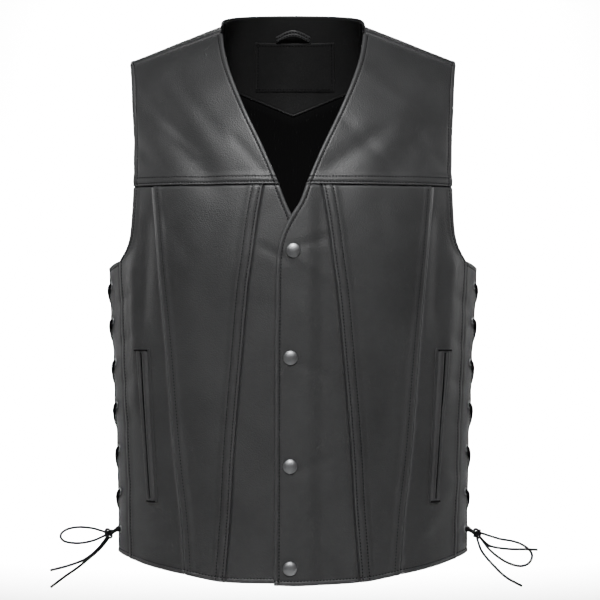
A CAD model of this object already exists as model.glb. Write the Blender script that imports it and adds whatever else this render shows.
import math

import bmesh
import bpy
import numpy as np
from bpy.props import FloatProperty, FloatVectorProperty, IntProperty, PointerProperty
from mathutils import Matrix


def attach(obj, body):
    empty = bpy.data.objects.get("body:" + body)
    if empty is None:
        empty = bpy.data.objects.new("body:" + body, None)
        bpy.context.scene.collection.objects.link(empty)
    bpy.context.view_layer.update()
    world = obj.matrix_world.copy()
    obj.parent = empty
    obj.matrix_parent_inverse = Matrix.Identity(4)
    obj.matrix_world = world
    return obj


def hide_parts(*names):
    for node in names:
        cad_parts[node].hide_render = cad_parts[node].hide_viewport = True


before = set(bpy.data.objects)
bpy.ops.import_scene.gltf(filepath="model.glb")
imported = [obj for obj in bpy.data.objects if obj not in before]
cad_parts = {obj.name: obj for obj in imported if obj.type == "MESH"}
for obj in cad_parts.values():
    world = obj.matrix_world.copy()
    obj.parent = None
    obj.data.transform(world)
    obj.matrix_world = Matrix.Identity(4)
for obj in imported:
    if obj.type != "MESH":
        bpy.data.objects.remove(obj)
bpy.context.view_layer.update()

bl_info = {
    "name": "Leather Vest",
    "version": (1, 0, 0),
    "blender": (4, 5, 0),
    "location": "View3D > Sidebar > Vest",
    "description": "Dresses the frame of a laced leather vest",
    "category": "Object",
}

MM = 0.001
BODY = "root"
SIDES = (("left", -1), ("right", 1))

# Photograph's view: the place of the camera, its lens and its sensor, in millimetres
CAMERA_AT = (8.0, -2600.0, -292.0)
CAMERA_LENS = 136.8
CAMERA_SENSOR = 36

# Leather walls and gaps, in millimetres
LEATHER = 2.0
GAP = 0.3
INSIDE_BACK = LEATHER + 2 * GAP
FACING = 1.2
LINING = 1.0

# Body of the vest, in millimetres: rows of height, half width, depth in front, depth behind
BODY_ROWS = (
    (-620, 199, 120, 110), (-577, 199, 120, 110), (-508, 200, 119, 107), (-458, 201.2, 119, 104),
    (-406, 204, 120, 104), (-360, 205.2, 122, 106), (-315, 207.8, 125, 110), (-268, 209.4, 128, 113),
    (-230, 210, 130, 115), (-150, 210, 130, 115), (60, 210, 130, 115),
)
SECTION_POWER = 2.15
CHEST_DROP = 230
CHEST_ROUND = 1.9
BLADE_Z = -150
BACK_ROUND_CENTRE = 1.0
BACK_ROUND_SHOULDER = 1.9

# Shoulders and neck
NECK_X = 82
NECK_Z = 20
SHOULDER_TIP_X = 186
SHOULDER_FALL = 0.393
BACK_NECK_DEPTH = 75
BACK_NECK_RISE = 21.3
BACK_NECK_ROUND = 0.3
SEAM_NECK_X = 80
SEAM_TIP_X = 185
SEAM_NECK_DROP = 12
SEAM_TIP_DROP = 6.8

# Edges and seams of the front: rows of height and distance from the middle
YOKE_Z = -166
NECK_EDGE = (
    (8.5, 79.6), (-21, 74.5), (-52, 64.5), (-88, 49.5), (-123, 33), (-166, 14.5), (-186, 7), (-200, 0.5),
)
PLACKET_EDGE = (
    (-166, 14.5), (-186, 7), (-198, -1), (-209, -7), (-223, -13), (-240, -17), (-262, -18.2), (-346, -19.5),
    (-471, -20), (-620, -20.6),
)
UNDERLAP_EDGE = ((-166, -14.5), (-186, -7), (-200, -0.5), (-218, 7), (-240, 12), (-262, 13), (-620, 13))
INNER_SEAM = (
    (-166, 32), (-208, 39), (-250, 44.6), (-280, 48.8), (-346, 55), (-446, 63.5), (-533, 68.6), (-620, 75.5),
)
OUTER_SEAM = (
    (-166, 154.2), (-221, 150), (-270, 145.5), (-347, 138.4), (-429, 132.4), (-482, 127.5), (-529, 122),
    (-620, 116),
)
STRIP_SEAM = (
    (-240, 193), (-257, 193), (-281, 192), (-318, 190.8), (-390, 188.5), (-437, 186.3), (-507, 184),
    (-620, 181),
)
FRONT_ARMHOLE = (
    (-27.3, 185), (-60, 182.5), (-100, 179), (-157, 177.2), (-179, 177.4), (-207, 179), (-224, 181.2),
    (-236, 185.2), (-247.5, 192.4),
)
BACK_ARMHOLE = ((-256, 207.3), (-246, 197.5), (-230, 188.5), (-205, 182.5), (-180, 180), (-150, 178.8))
HEM = ((0, -603.6), (78, -600), (122, -592.8), (160, -585.2), (185, -580), (212, -576))
BACK_HEM_RISE = 12
ARMHOLE_FOOT_Z = -255.5
UNDER_HEM_RISE = 3
OVERLAP_LIFT = LEATHER + GAP + 0.4
OVERLAP_FULL_X = 15
OVERLAP_FLAT_X = 34

# Sides: edges of front and back from the side line, eyelets and laces
SIDE_EDGE = {"front": -19, "back": 21}
EYELET_Y = {"front": -33, "back": 35}
EYELET_HEIGHTS = (-275.5, -315, -361.5, -409.5, -458.5, -507, -549.5)
LACE_RADIUS = 1.6
RUN_RADIUS = 2.5
RUN_FLATNESS = 0.66
KNOT_X = 210
KNOT_Z = -558
KNOT_RADII = np.array((5.0, 5.4, 7.0))

# Snaps: height and distance from the middle, and the cap's profile of radius and height
SNAPS = ((-238, 0.8), (-354.5, -2.3), (-473, -2.7), (-584, -3))
SNAP_PROFILE = (
    (0, 0), (6.7, 0), (7.5, 0.25), (7.9, 0.8), (7.78, 1.3), (7.4, 1.7), (6.95, 1.85), (6.6, 1.9),
    (5.688, 2.35), (3.95, 2.82), (1.975, 3.1), (0, 3.2),
)

# Largest folds of each face: crease line from and to, width, depth outwards
FOLDS = {
    "front": (
        ((-163, -60), (-98, -150), 15, -3.5), ((48, -142), (92, -112), 12, -2),
        ((168, -58), (120, -140), 16, -2), ((-177, -262), (-175, -400), 8, 3),
        ((178, -258), (170, -395), 8, 3), ((-160, -215), (-166, -300), 9, -2),
        ((161, -212), (158, -300), 9, -2), ((150, -540), (176, -500), 9, 2),
    ),
    "back": (
        ((-150, -60), (-90, -170), 18, -3), ((152, -70), (96, -160), 18, -3),
        ((-120, -330), (-60, -380), 20, -3), ((130, -345), (50, -372), 20, -3),
    ),
}

# Finer creases, placed by hand in the same way
CREASES = {
    "front": (
        ((-150, -96), (-112, -128), 6, 1.0), ((-176, -118), (-146, -150), 7, -0.9),
        ((-120, -60), (-86, -104), 9, -0.8), ((-60, -120), (-34, -150), 6, -0.7),
        ((58, -96), (100, -138), 8, -0.8), ((140, -112), (170, -146), 7, -0.9),
        ((84, -40), (120, -70), 10, 0.8), ((-150, -190), (-118, -236), 9, -0.9),
        ((-60, -200), (-84, -262), 10, 0.7), ((-52, -330), (-74, -420), 12, -0.7),
        ((-112, -300), (-96, -400), 13, 0.8), ((-120, -430), (-100, -540), 12, -0.8),
        ((96, -200), (118, -270), 11, -0.8), ((70, -300), (84, -402), 12, 0.8),
        ((110, -360), (98, -470), 12, -0.8), ((90, -520), (70, -585), 10, 0.7),
        ((-30, -236), (-10, -246), 5, -0.7), ((10, -232), (32, -226), 5, -0.7),
        ((8, -248), (30, -262), 6, 0.6), ((8, -362), (30, -372), 6, -0.5), ((6, -480), (28, -470), 6, -0.5),
        ((-146, -530), (-178, -500), 8, -0.9), ((-140, -556), (-172, -548), 7, 0.8),
        ((146, -558), (178, -540), 7, -0.8), ((-186, -290), (-200, -300), 6, -0.8),
        ((-184, -336), (-200, -348), 6, -0.8), ((-184, -382), (-200, -392), 6, -0.7),
        ((-182, -428), (-198, -440), 6, -0.7), ((186, -292), (200, -304), 6, -0.8),
        ((184, -338), (200, -350), 6, -0.8), ((184, -384), (200, -394), 6, -0.7),
        ((182, -430), (198, -442), 6, -0.7),
    ),
    "back": (
        ((-40, -40), (-20, -130), 14, -0.9), ((48, -52), (30, -140), 14, -0.9),
        ((-170, -250), (-110, -270), 12, -1.2), ((172, -246), (118, -276), 12, -1.2),
        ((-176, -330), (-120, -322), 12, 1.0), ((178, -352), (124, -330), 12, 1.0),
        ((-30, -300), (46, -316), 16, -1.2), ((-90, -430), (-20, -420), 18, 1.1),
        ((100, -440), (30, -424), 18, 1.0), ((-150, -520), (-120, -590), 14, 1.0),
        ((60, -500), (72, -590), 14, -0.9), ((150, -500), (136, -580), 14, 1.0),
    ),
}
RIPPLE_DEPTH = 0.28

# Pocket welt: rows of height, outer edge, slit and inner edge
POCKET = ((-346, 174, 167, 157), (-400, 171, 164.5, 155), (-460, 166.5, 161, 152), (-516, 162, 157, 148.5))
POCKET_TOP = -345
POCKET_FOOT = -517
POCKET_END = 5
SLIT = 1.5
BAG_HALF = 1.6
BAG_FACES = (0.45, 0.1)
TACK_INSET = 2.5
TACK_RADIUS = 0.95

# The welt's section from the slit (0) to its edge (1) and its height, and the squareness of its outline
WELT_SECTION = (
    (0.0, -0.1), (0.0, 1.2), (0.05, 2.0), (0.14, 2.6), (0.27, 2.8), (0.4, 2.5), (0.5, 1.9), (0.57, 1.1),
    (0.62, 0.5), (0.69, 0.55), (0.77, 0.6), (0.83, 0.3), (0.89, 0.55), (0.95, 0.45), (1.0, 0.0),
)
WELT_CORNER = 0.12

# Inside of the neck
FACING_TIP_Z = -73
FACING_SLOPE = 0.396
FACING_HALF = 84
FACING_U = 0.42
FACING_TOP_W = 0.93
LINING_U = 0.84
LINING_TOP_W = 0.6
PIPING_RADIUS = 1.25
PATCH_THICKNESS = 1.0
PATCH_ROW = 3.0
PATCH = {"left": -46, "right": 50, "top": 11, "foot": -45}
HANGER_HALF = 21.5
HANGER_FOOT_Z = 18.6
HANGER_RISE = 9.5
HANGER_DROP = 7
HANGER_BOW = 7
HANGER_SEAT = 1.8
HANGER_THICKNESS = 1.5
HANGER_ROW = 1.8

# Free ends of the laces, in millimetres: the same routes as the solids
BOW_ROUTES = {
    "bow_loop_left": (
        (-216.6, -1, -555.5), (-227.7, -1, -552.3), (-242.8, -1, -550.8), (-255.7, -1, -552.7),
        (-263.3, -1, -557.3), (-264.8, -1, -562.5), (-260.3, -1, -567), (-250.5, -1, -569),
        (-239, -1, -568.7), (-226, -1, -565.6), (-216.8, -1, -561.8),
    ),
    "lace_tail_a_left": (
        (-213.4, -5.2, -564.6), (-221, -5.6, -574), (-233.7, -5, -585), (-242.8, -4, -589.9),
        (-258, -3, -595.2), (-275.9, -3, -599.8),
    ),
    "lace_tail_b_left": (
        (-210.8, 1.5, -567.2), (-220, 2.5, -575.7), (-235.2, 3, -588.9), (-245.9, 3, -597.5),
        (-261, 2, -608), (-276.2, 2, -619.5),
    ),
    "bow_loop_right": (
        (216.9, -1, -557.2), (235.1, -1, -564.1), (252.4, -1, -567.3), (263.3, -1, -572),
        (270.6, -1, -578.4), (272.5, -1, -584.8), (268.8, -1, -592), (260.6, -1, -595.2),
        (249.7, -1, -593.4), (236.9, -1, -587), (224.1, -1, -576.5), (215.6, -1, -565.9),
    ),
    "lace_tail_a_right": (
        (214, -5.6, -563.9), (222, -6.5, -570.5), (231, -6.8, -573.4), (246, -6.8, -575.2),
        (266.1, -6.4, -575.6), (277.9, -6, -576.1),
    ),
    "lace_tail_b_right": (
        (209.8, 2, -567.4), (215.9, 4, -579.3), (229.6, 4.5, -595.7), (243.3, 4, -608.5),
        (261.1, 4, -618.5),
    ),
}
KNOT_SKIN = 0.9


# Curves and surfaces

def curve_of(rows, column=1):
    """Smooth curve through rows of (place, value): a cubic between rows, with each row's slope taken
    from its two neighbours."""
    table = np.array(rows, dtype=float)
    table = table[np.argsort(table[:, 0])]
    place, value = table[:, 0], table[:, column]
    before = np.maximum(np.arange(len(place)) - 1, 0)
    after = np.minimum(np.arange(len(place)) + 1, len(place) - 1)
    slope = (value[after] - value[before]) / (place[after] - place[before])

    def at(where):
        where = np.clip(where, place[0], place[-1])
        low = np.clip(np.searchsorted(place, where, "right") - 1, 0, len(place) - 2)
        span = place[low + 1] - place[low]
        s = (where - place[low]) / span
        rise = s * s * (3 - 2 * s)
        line = value[low] * (1 - rise) + value[low + 1] * rise
        return line + s * (1 - s) * span * (slope[low] * (1 - s) - slope[low + 1] * s)

    return at


half_width = curve_of(BODY_ROWS, 1)
front_depth = curve_of(BODY_ROWS, 2)
back_depth = curve_of(BODY_ROWS, 3)
neck_edge_x = curve_of(NECK_EDGE)
placket_x = curve_of(PLACKET_EDGE)
underlap_x = curve_of(UNDERLAP_EDGE)
inner_seam_x = curve_of(INNER_SEAM)
outer_seam_x = curve_of(OUTER_SEAM)
strip_seam_x = curve_of(STRIP_SEAM)
front_armhole_x = curve_of(FRONT_ARMHOLE)
back_armhole_x = curve_of(BACK_ARMHOLE)
hem_z = curve_of(HEM)
welt_outer_x = curve_of(POCKET, 1)
slit_x = curve_of(POCKET, 2)
welt_inner_x = curve_of(POCKET, 3)


def lerp(a, b, t):
    return a + (b - a) * t


def smoothstep(low, high, value):
    t = np.clip((value - low) / (high - low), 0, 1)
    return t * t * (3 - 2 * t)


def full_turn(count):
    return np.arange(count) / count * 2 * np.pi


def power(value, exponent):
    return np.sign(value) * np.abs(value) ** exponent


def ridge_z(x):
    return NECK_Z - SHOULDER_FALL * (np.abs(x) - NECK_X)


def seam_drop(x):
    along = (np.abs(x) - SEAM_NECK_X) / (SEAM_TIP_X - SEAM_NECK_X)
    return lerp(SEAM_NECK_DROP, SEAM_TIP_DROP, along)


def dome(t, start, end):
    return (1 - (1 - np.clip(t, 0, 1)) ** start) ** (1 / end)


def angle_of_x(x, z):
    share = np.clip(np.abs(x) / half_width(z), 0, 1)
    return np.sign(x) * np.arcsin(share ** (SECTION_POWER / 2))


def angle_of_depth(y, depth):
    return np.arccos(power(-y / depth, SECTION_POWER / 2))


def stack(x, y, z):
    return np.stack(np.broadcast_arrays(x, y, z), axis=-1).astype(float)


def front_point(angle, z):
    """Front of the body: a rounded section, wide as the half width and deep as the front depth, whose
    depth closes to nothing at the shoulder line."""
    x = half_width(z) * power(np.sin(angle), 2 / SECTION_POWER)
    depth = front_depth(z) * power(np.cos(angle), 2 / SECTION_POWER)
    return stack(x, -depth * dome((ridge_z(x) - z) / CHEST_DROP, CHEST_ROUND, CHEST_ROUND), z)


def back_angle(z):
    side = angle_of_depth(-SIDE_EDGE["back"], back_depth(z))
    return np.where(z < ARMHOLE_FOOT_Z, side, angle_of_x(back_armhole_x(z), z))


def back_lower(u, z):
    angle = u * back_angle(z)
    x = half_width(z) * power(np.sin(angle), 2 / SECTION_POWER)
    return stack(x, back_depth(z) * power(np.cos(angle), 2 / SECTION_POWER), z)


NECK_U = 0.46
SEAM_U = 0.52
RISE_LENGTH = 250
SEAM_LENGTH = 45


def back_top(u):
    """Upper end of each back column, on the neck edge or on the shoulder line, and how far the column
    passes over that line to the front seam, from 0 to 1."""
    side = np.where(u < 0, -1, 1)
    reach = np.abs(u)
    turn = np.clip(reach / NECK_U, 0, 1) * (np.pi / 2)
    opening = np.maximum(np.cos(turn), 0)
    on_neck = np.clip((reach - NECK_U) / (SEAM_U - NECK_U), 0, 1)
    on_seam = np.clip((reach - SEAM_U) / (1 - SEAM_U), 0, 1)
    beside_neck = lerp(NECK_X, SEAM_NECK_X, on_neck)
    shoulder_x = np.where(on_seam > 0, lerp(SEAM_NECK_X, SHOULDER_TIP_X - 0.7, on_seam), beside_neck)
    inside = reach <= NECK_U
    x = np.where(inside, NECK_X * np.sin(turn), shoulder_x)
    y = np.where(inside, BACK_NECK_DEPTH * opening, 0)
    z = np.where(inside, NECK_Z + BACK_NECK_RISE * opening ** (2 * BACK_NECK_ROUND), ridge_z(x))
    return side * x, y, z, np.where(inside, 0, on_neck)


def back_upper(u, r):
    """Back above the blades: each column bends from the blade line to its upper end and, past the
    shoulder line, lies on the front surface."""
    top_x, top_y, top_z, past = back_top(u)
    along = r * (RISE_LENGTH + SEAM_LENGTH * past)
    down = (np.maximum(along - RISE_LENGTH, 0) / SEAM_LENGTH) ** 2
    front_z = top_z - down * (seam_drop(top_x) - GAP)
    over = front_point(angle_of_x(top_x, front_z), front_z)
    base = back_lower(u, np.full(np.shape(u), float(BLADE_Z)))
    fall = np.clip(1 - along / RISE_LENGTH, 0, None) ** 2
    end = lerp(BACK_ROUND_CENTRE, BACK_ROUND_SHOULDER, smoothstep(0.1, 0.8, np.abs(u)))
    rise = dome(fall, BACK_ROUND_SHOULDER, end)
    slide = fall * fall * (3 - 2 * fall)
    x = lerp(top_x, base[..., 0], lerp(slide, fall, 0.5))
    behind = stack(x, lerp(top_y, base[..., 1], rise), lerp(top_z, base[..., 2], fall))
    return np.where((along > RISE_LENGTH)[..., None], over, behind)


BLADE_SCALE = 250


def back_point(u, w):
    """Back of the body: w below 0 is a height under the blade line, and from 0 to 1 it runs up the column."""
    u, w = np.broadcast_arrays(np.asarray(u, float), np.asarray(w, float))
    lower = back_lower(u, BLADE_Z + np.minimum(w, 0) * BLADE_SCALE)
    return np.where((w < 0)[..., None], lower, back_upper(u, np.maximum(w, 0)))


def height_to_w(z):
    return (z - BLADE_Z) / BLADE_SCALE


def unit(vectors):
    return vectors / np.maximum(np.linalg.norm(vectors, axis=-1, keepdims=True), 1e-12)


def normal_of(surface, a, b, step_a, step_b):
    along_a = surface(a + step_a, b) - surface(a - step_a, b)
    along_b = surface(a, b + step_b) - surface(a, b - step_b)
    return unit(np.cross(along_a, along_b))


def crease_sum(x, z, creases):
    """Sum of the troughs and ridges: each is a bell across its crease line that fades past its ends."""
    total = np.zeros(np.shape(x))
    for start, end, width, depth in creases:
        run_x, run_z = end[0] - start[0], end[1] - start[1]
        length = math.hypot(run_x, run_z)
        along = ((x - start[0]) * run_x + (z - start[1]) * run_z) / length
        past = np.maximum(np.maximum(-along, along - length), 0)
        across = ((x - start[0]) * run_z - (z - start[1]) * run_x) / length
        total += depth * np.exp(-((across / width) ** 2) - (past / (2 * width)) ** 2)
    return total


def ripple(x, y, z):
    """Slow uneven swell of hide, as a sum of crossed waves 17 to 60 mm long."""
    swell = np.sin(x / 9.1 + 1.7 * np.sin(z / 23.0)) * np.sin(z / 14.3 + 0.8 * np.sin((x + y) / 17.0))
    slow = np.sin(x / 21.0 - z / 33.0 + 0.6) * np.sin((z + 2 * y) / 27.0)
    return 0.55 * swell + slow


def front_place(angle, z, out, fine=True):
    point = front_point(angle, z)
    away = out + crease_sum(point[..., 0], z, FOLDS["front"])
    if fine:
        away = away + crease_sum(point[..., 0], z, CREASES["front"])
        away = away + RIPPLE_DEPTH * ripple(point[..., 0], point[..., 1], z)
    return point + normal_of(front_point, angle, z, 0.002, 0.4) * away[..., None]


def back_place(u, w, out, fine=True):
    point = back_point(u, w)
    x, y, z = point[..., 0], point[..., 1], point[..., 2]
    away = out + crease_sum(x, z, FOLDS["back"])
    if fine:
        behind = smoothstep(0, 40, y)
        away = away + behind * crease_sum(x, z, CREASES["back"]) + RIPPLE_DEPTH * ripple(x, y, z)
    normal = -normal_of(back_point, np.clip(u, -0.999, 0.999), np.minimum(w, 0.998), 0.001, 0.002)
    return point + normal * away[..., None]


def side_place(side, y, z, out):
    """Place beside the side opening: y from the side line, height and distance out."""
    y, z, out = (np.asarray(value, float) for value in np.broadcast_arrays(y, z, out))
    ahead = front_place(side * angle_of_depth(np.minimum(y, 0), front_depth(z)), z, out, fine=False)
    angle = side * angle_of_depth(-np.maximum(y, 0), back_depth(z))
    u = angle / back_angle(np.minimum(z, ARMHOLE_FOOT_Z - 1))
    behind = back_place(u, height_to_w(z), out, fine=False)
    return np.where((y <= 0)[..., None], ahead, behind)


def side_normal(side, y, z):
    return unit(side_place(side, y, z, 1.0) - side_place(side, y, z, 0.0))


# Edges of the panels: the distances at which the grid gets a line, and the relief there

TURNED_LINES = (0, 0.12, 0.35, 0.7, 1.2, 2.0, 3.0, 4.1, 4.9, 5.5, 6.1, 7.0, 8.6)
LAP_LINES = (0, 0.1, 0.3, 0.6, 1.1, 1.7, 2.3, 2.8, 3.3, 4.1, 6.0, 8.2, 9.6, 10.2, 10.8, 12, 14, 16.5)
BUTT_LINES = (0, 0.2, 0.6, 1.2, 2.4, 4.2)
COVERED_LINES = (-3.0, -1.5, -0.5, 0, 0.3, 0.7, 1.2, 1.8, 2.6, 4.2, 6.5)
SEAM_ROWS = (2.8, 10.2)
EDGE_ROW = 5.5
SINGLE_ROW = 6.8
LAP_RISE = 1.0
GROOVE = 0.45
THINNEST = 0.5


def rounded(d, radius):
    share = np.clip(1 - d / radius, 0, 1)
    return -radius * (1 - np.sqrt(1 - share**2))


def groove(d, at, width=0.75):
    return -GROOVE * np.exp(-(((d - at) / width) ** 2))


def turned_edge(d):
    """Edge folded in and stitched: rounded over, puffed up to the stitch row, with a groove there."""
    return rounded(d, 1.1) + 0.5 * np.exp(-(((d - 2.7) / 2.0) ** 2)) + groove(d, EDGE_ROW)


def lap(d, start=10.5, end=17):
    """How far the wall beside a lapped edge is lifted by the neighbour under it."""
    return LAP_RISE * (1 - smoothstep(start, end, d))


def single_rise(d):
    return lap(d, 8, 15)


def lip_rise(d):
    return lap(d, 4, 12)


def level(d):
    return 0 * d


def lapped_edge(d):
    """Edge laid over its neighbour: one wall higher, rounded, and two stitch rows."""
    puff = 0.4 * np.exp(-(((d - 6.5) / 2.5) ** 2))
    return lap(d) + rounded(d, 0.9) + puff + groove(d, SEAM_ROWS[0]) + groove(d, SEAM_ROWS[1])


def single_lap(d):
    """Lapped edge held by one stitch row."""
    return single_rise(d) + rounded(d, 0.9) + 0.3 * np.exp(-(((d - 3.4) / 2.0) ** 2)) + groove(d, SINGLE_ROW)


def lipped_edge(d):
    """Turned edge that lies over the lace strip."""
    return lip_rise(d) + turned_edge(d)


def covered_edge(d):
    """Edge that runs on under its neighbour: pulled in beside the step, which leaves a dark line there."""
    d = np.maximum(d, 0)
    return -1.9 * np.exp(-((d / 1.2) ** 2)) - 0.25 * np.exp(-((d / 4.0) ** 2))


def covered_under(d):
    """Inner face of a covered edge: it stays below the pulled in outer face."""
    return -0.7 * np.exp(-((np.maximum(d, 0) / 3.0) ** 2))


def sunk_edge(d):
    """Covered edge of the lace strip, with a wider dip, since it is seen from the side."""
    return -2.4 * np.exp(-((np.maximum(d, 0) / 2.4) ** 2))


def sunk_under(d):
    return -1.3 * np.exp(-((np.maximum(d, 0) / 4.0) ** 2))


def seamed_edge(d):
    return rounded(d, 0.8)


STYLES = {
    "turned": (TURNED_LINES, turned_edge, level),
    "lipped": (TURNED_LINES, lipped_edge, lip_rise),
    "lapped": (LAP_LINES, lapped_edge, lap),
    "single": (LAP_LINES, single_lap, single_rise),
    "covered": (COVERED_LINES, covered_edge, covered_under),
    "sunk": (COVERED_LINES, sunk_edge, sunk_under),
    "seamed": (BUTT_LINES, seamed_edge, level),
}


EDGES = ("near", "far", "top", "foot")


def all_round(style):
    return dict.fromkeys(EDGES, style)


class Panel:
    """One cut piece of leather. place(u, v, out) gives points in millimetres, u across and v down, and
    edges name the style of its sides: near (u 0), far (u 1), top (v 0) and foot (v 1)."""

    SAMPLES = np.linspace(0, 1, 33)

    def __init__(self, place, edges, spacing=3.2, thickness=LEATHER):
        self.place = place
        self.edges = edges
        self.spacing = spacing
        self.thickness = thickness
        u, v = np.meshgrid(self.SAMPLES, self.SAMPLES)
        points = place(u, v, np.zeros(u.shape))
        self.widths, self.heights = grid_lengths(points)

    def width(self, v):
        return np.interp(v, self.SAMPLES, self.widths)

    def height(self, u):
        return np.interp(u, self.SAMPLES, self.heights)

    def steps(self, lengths):
        return np.linspace(0, 1, max(int(lengths.max() / self.spacing) - 4, 3) + 2)[1:-1]

    def lines(self, lengths, first, last, inner):
        """Grid lines for each length: set distances from both ends and even steps between them."""
        near = np.array(STYLES[first][0])
        far = np.array(STYLES[last][0])
        reach = np.asarray(lengths)[:, None]
        middle = near[-1] + (reach - near[-1] - far[-1]) * inner
        start = np.broadcast_to(near, (len(lengths), len(near)))
        return np.concatenate([start, middle, reach - far[::-1]], axis=1) / reach

    def grid(self):
        edges = self.edges
        down = self.steps(self.heights)
        v_guess = self.lines(np.array([np.mean(self.heights)]), edges["top"], edges["foot"], down)[0]
        u = self.lines(self.width(v_guess), edges["near"], edges["far"], self.steps(self.widths))
        v = self.lines(self.height(u[len(u) // 2]), edges["top"], edges["foot"], down).T
        return u, v

    def edge_sum(self, u, v, column):
        """Sum over the four edges of one function of the distance from the edge."""
        width, height = self.width(v), self.height(u)
        distances = {"near": u * width, "far": (1 - u) * width, "top": v * height, "foot": (1 - v) * height}
        return sum(STYLES[style][column](distances[edge]) for edge, style in self.edges.items())

    def relief(self, u, v):
        return np.maximum(self.edge_sum(u, v, 1), self.under(u, v) + THINNEST)

    def under(self, u, v):
        """Height of the inner face: lifted where an edge laps over its neighbour, lowered where covered."""
        return np.minimum(self.edge_sum(u, v, 2), LAP_RISE) - self.thickness

    def surface(self, u, v):
        return self.place(u, v, self.relief(u, v))

    def rub(self, u, v):
        """Wear on what stands out: high along the edges, low in the middle."""
        width, height = self.width(v), self.height(u)
        distance = np.minimum(np.minimum(u, 1 - u) * width, np.minimum(v, 1 - v) * height)
        return np.exp(-((distance - 1.2) / 1.3) ** 2)

    def row(self, edge, distance, count=400):
        """A line at a set distance from one edge, with its normals: the path of a stitch row."""
        along = np.linspace(0, 1, count)
        if edge in ("near", "far"):
            v = along
            u = distance / self.width(v)
            u = u if edge == "near" else 1 - u
        else:
            u = along
            v = distance / self.height(u)
            v = v if edge == "top" else 1 - v
        points = self.surface(u, v)
        above = self.place(u, v, self.relief(u, v) + 1.0)
        return points, unit(above - points)


# Meshes

def mesh_object(name, vertices, faces, material=None):
    mesh = bpy.data.meshes.new(name)
    vertices = np.asarray(vertices, float).reshape(-1, 3) * MM
    faces = np.asarray(faces, np.int32)
    size = faces.shape[1]
    mesh.vertices.add(len(vertices))
    mesh.vertices.foreach_set("co", vertices.ravel())
    mesh.loops.add(faces.size)
    mesh.loops.foreach_set("vertex_index", faces.ravel())
    mesh.polygons.add(len(faces))
    mesh.polygons.foreach_set("loop_start", np.arange(0, faces.size, size, dtype=np.int32))
    mesh.polygons.foreach_set("use_smooth", np.ones(len(faces), bool))
    mesh.update(calc_edges=True)
    mesh.validate()
    made = bpy.data.objects.new(name, mesh)
    bpy.context.scene.collection.objects.link(made)
    if material:
        mesh.materials.append(material)
    return made


def outward(vertices, faces):
    """The faces, turned round where the closed mesh encloses a negative volume."""
    a, b, c = vertices[faces[:, 0]], vertices[faces[:, 1]], vertices[faces[:, 2]]
    centre = vertices.mean(axis=0)
    volume = np.einsum("ij,ij->i", a - centre, np.cross(b - centre, c - centre)).sum()
    if faces.shape[1] == 4:
        d = vertices[faces[:, 3]]
        volume += np.einsum("ij,ij->i", a - centre, np.cross(c - centre, d - centre)).sum()
    return faces if volume > 0 else faces[:, ::-1]


def shell_mesh(outer, inner):
    """Closed wall between two grids of the same size: both faces and a rim of quads round them."""
    rows, columns = outer.shape[:2]
    index = np.arange(rows * columns).reshape(rows, columns)
    layer = rows * columns
    quads = np.stack([index[:-1, :-1], index[1:, :-1], index[1:, 1:], index[:-1, 1:]], axis=-1).reshape(-1, 4)
    rim = np.concatenate([index[0, :-1], index[:-1, -1], index[-1, :0:-1], index[:0:-1, 0]])
    after = np.roll(rim, -1)
    border = np.stack([rim, after, after + layer, rim + layer], axis=-1)
    faces = np.concatenate([quads, quads[:, ::-1] + layer, border])
    vertices = np.concatenate([outer.reshape(-1, 3), inner.reshape(-1, 3)])
    return vertices, outward(vertices, faces)


def add_mask(obj, name, values):
    attribute = obj.data.attributes.new(name, "FLOAT", "POINT")
    attribute.data.foreach_set("value", np.asarray(values, np.float32).ravel())


def panel_object(name, panel, material):
    u, v = panel.grid()
    outer = panel.surface(u, v)
    inner = panel.place(u, v, panel.under(u, v))
    vertices, faces = shell_mesh(outer, inner)
    made = mesh_object(name, vertices, faces, material)
    rub = panel.rub(u, v)
    add_mask(made, "rub", np.concatenate([rub.ravel(), np.zeros(rub.size)]))
    finish_piece(made, name)
    return made


def finish_piece(piece, node=None):
    """Ties a piece to the vest and, where it stands for a solid, names it after that solid."""
    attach(piece, BODY)
    if node:
        piece.name = f"fine_{node}"
        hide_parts(node)
    return piece


def grid_lengths(points):
    """Length of each row and of each column of a grid of points."""
    rows = np.linalg.norm(np.diff(points, axis=1), axis=-1).sum(axis=1)
    return rows, np.linalg.norm(np.diff(points, axis=0), axis=-1).sum(axis=0)


TIP_LENGTH = 0.45
TIP_WIDTH = 0.75


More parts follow.
